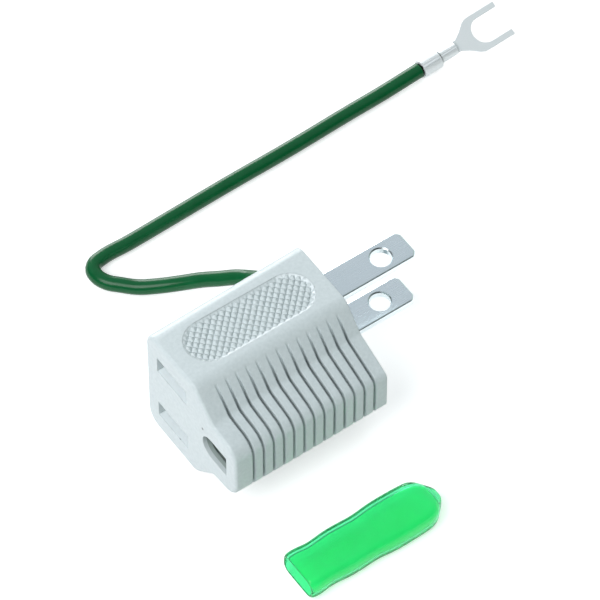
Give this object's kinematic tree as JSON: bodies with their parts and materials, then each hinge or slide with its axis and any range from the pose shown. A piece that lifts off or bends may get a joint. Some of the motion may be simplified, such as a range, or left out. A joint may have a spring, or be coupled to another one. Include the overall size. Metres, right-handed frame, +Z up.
{
  "type": "grounding plug adapter",
  "caption": "Plug adapter that takes a three-pin plug and ends in flat blades, with an earth wire, a fork terminal and a loose terminal cap.",
  "frame": {"origin": "middle of the plug face, halfway between the two blades", "axes": "+X out of the plug face along the blades, +Y towards the side that the wire leaves, +Z up, with the blades one above the other"},
  "size_m": [0.1004, 0.0846, 0.025],
  "materials": {
    "grey_plastic": "moulded satin",
    "nickel": "nickel plated",
    "brass": "plain strip",
    "steel": "plain",
    "tinned": "tin plated",
    "copper": "bare copper",
    "wire_green": "soft insulation",
    "cap_green": "soft translucent vinyl"
  },
  "bodies": {
    "root": {"housing": "grey_plastic", "blade_upper": "nickel", "blade_lower": "nickel", "leaf_outer_upper": "brass", "leaf_inner_upper": "brass", "leaf_outer_lower": "brass", "leaf_inner_lower": "brass", "rivet_upper": "steel", "rivet_lower": "steel", "ground_contact": "brass", "earth_wire": "wire_green", "conductor_inner": "copper", "conductor_outer": "copper", "fork_terminal": "tinned", "terminal_cap": "cap_green"}
  },
  "joints": []
}
